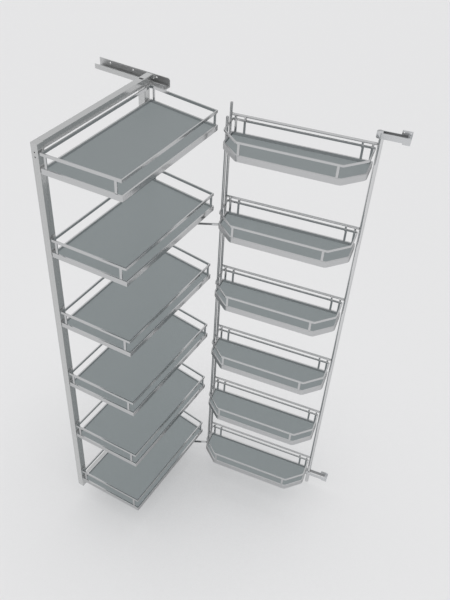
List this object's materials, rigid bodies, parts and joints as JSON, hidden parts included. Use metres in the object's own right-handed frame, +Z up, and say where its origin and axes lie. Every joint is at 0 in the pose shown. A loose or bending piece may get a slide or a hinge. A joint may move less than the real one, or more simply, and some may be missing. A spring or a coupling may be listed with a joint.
{
  "type": "pull out larder unit",
  "caption": "Tall pull-out larder fitting for a kitchen cabinet: grey-panelled trays with chrome rims on a sliding frame, and a hinged rack of door trays linked to it.",
  "frame": {"origin": "on the top side rail's face against the cabinet's side panel, halfway along the rail, 9 mm above the rail's lower edge", "axes": "+X is the way the trays pull out of the cabinet, +Y points into the cabinet's side panel that carries the rails, +Z is up"},
  "size_m": [1.0229, 0.6185, 1.6679],
  "materials": {
    "chrome": "bright chrome plate",
    "panel": "grey melamine-faced board, satin",
    "frame": "silver-grey coat, satin",
    "rail": "zinc-plated sheet steel, satin",
    "carriage": "zinc-plated steel, satin",
    "link": "dark coat, satin",
    "guide": "satin chrome"
  },
  "bodies": {
    "side_rails": {"top_rail": "rail", "bottom_rail": "rail"},
    "pull_out": {"frame_front_post": "frame", "frame_rear_post": "frame", "frame_top_bar": "frame", "frame_bottom_bar": "frame", "top_carriage": "carriage", "bottom_carriage": "carriage", "link_plate_upper": "rail", "link_plate_lower": "rail", "inner_tray_1_lip": "chrome", "inner_tray_1_panel": "panel", "inner_tray_1_gallery": "chrome", "inner_tray_2_lip": "chrome", "inner_tray_2_panel": "panel", "inner_tray_2_gallery": "chrome", "inner_tray_3_lip": "chrome", "inner_tray_3_panel": "panel", "inner_tray_3_gallery": "chrome", "inner_tray_4_lip": "chrome", "inner_tray_4_panel": "panel", "inner_tray_4_gallery": "chrome", "inner_tray_5_lip": "chrome", "inner_tray_5_panel": "panel", "inner_tray_5_gallery": "chrome", "inner_tray_6_lip": "chrome", "inner_tray_6_panel": "panel", "inner_tray_6_gallery": "chrome"},
    "door_rack": {"door_pivot_rod": "chrome", "door_link_rod": "chrome", "door_end_upright": "chrome", "door_tray_1_lip": "chrome", "door_tray_1_panel": "panel", "door_tray_1_gallery": "chrome", "door_tray_2_lip": "chrome", "door_tray_2_panel": "panel", "door_tray_2_gallery": "chrome", "door_tray_3_lip": "chrome", "door_tray_3_panel": "panel", "door_tray_3_gallery": "chrome", "door_tray_4_lip": "chrome", "door_tray_4_panel": "panel", "door_tray_4_gallery": "chrome", "door_tray_5_lip": "chrome", "door_tray_5_panel": "panel", "door_tray_5_gallery": "chrome", "door_tray_6_lip": "chrome", "door_tray_6_panel": "panel", "door_tray_6_gallery": "chrome", "door_crossbar_1": "chrome", "door_crossbar_2": "chrome", "door_crossbar_3": "chrome", "door_crossbar_4": "chrome", "door_crossbar_5": "chrome", "door_crossbar_6": "chrome"},
    "link_upper": {"link_arm_upper": "link"},
    "link_lower": {"link_arm_lower": "link"},
    "guide_upper": {"door_guide_upper": "guide"},
    "guide_lower": {"door_guide_lower": "guide"}
  },
  "joints": [
    {"name": "rack_swing", "type": "hinge", "parent": "side_rails", "child": "door_rack", "pos_m": [0.37734, -0.02663, -0.8], "axis": [0, 0, 1], "range_deg": [-101, 7]},
    {"name": "pull_out_slide", "type": "slide", "parent": "side_rails", "child": "pull_out", "axis": [1, 0, 0], "range_m": [-0.1315, 0.01]},
    {"name": "link_upper_turn", "type": "hinge", "parent": "door_rack", "child": "link_upper", "pos_m": [0.38907, -0.06713, -0.3915], "axis": [0, 0, 1], "range_deg": [-8, 102]},
    {"name": "link_lower_turn", "type": "hinge", "parent": "door_rack", "child": "link_lower", "pos_m": [0.38907, -0.06713, -1.5551], "axis": [0, 0, 1], "range_deg": [-8, 102]},
    {"name": "guide_upper_slide", "type": "slide", "parent": "door_rack", "child": "guide_upper", "axis": [0.9817, 0.1905, 0], "range_m": [-0.065, 0]},
    {"name": "guide_lower_slide", "type": "slide", "parent": "door_rack", "child": "guide_lower", "axis": [0.9817, 0.1905, 0], "range_m": [-0.065, 0]}
  ],
  "couplings": [
    {"joint": "pull_out_slide", "follows": "rack_swing", "m_per_rad": 0.074},
    {"joint": "link_upper_turn", "follows": "rack_swing", "ratio": -1},
    {"joint": "link_lower_turn", "follows": "rack_swing", "ratio": -1}
  ]
}
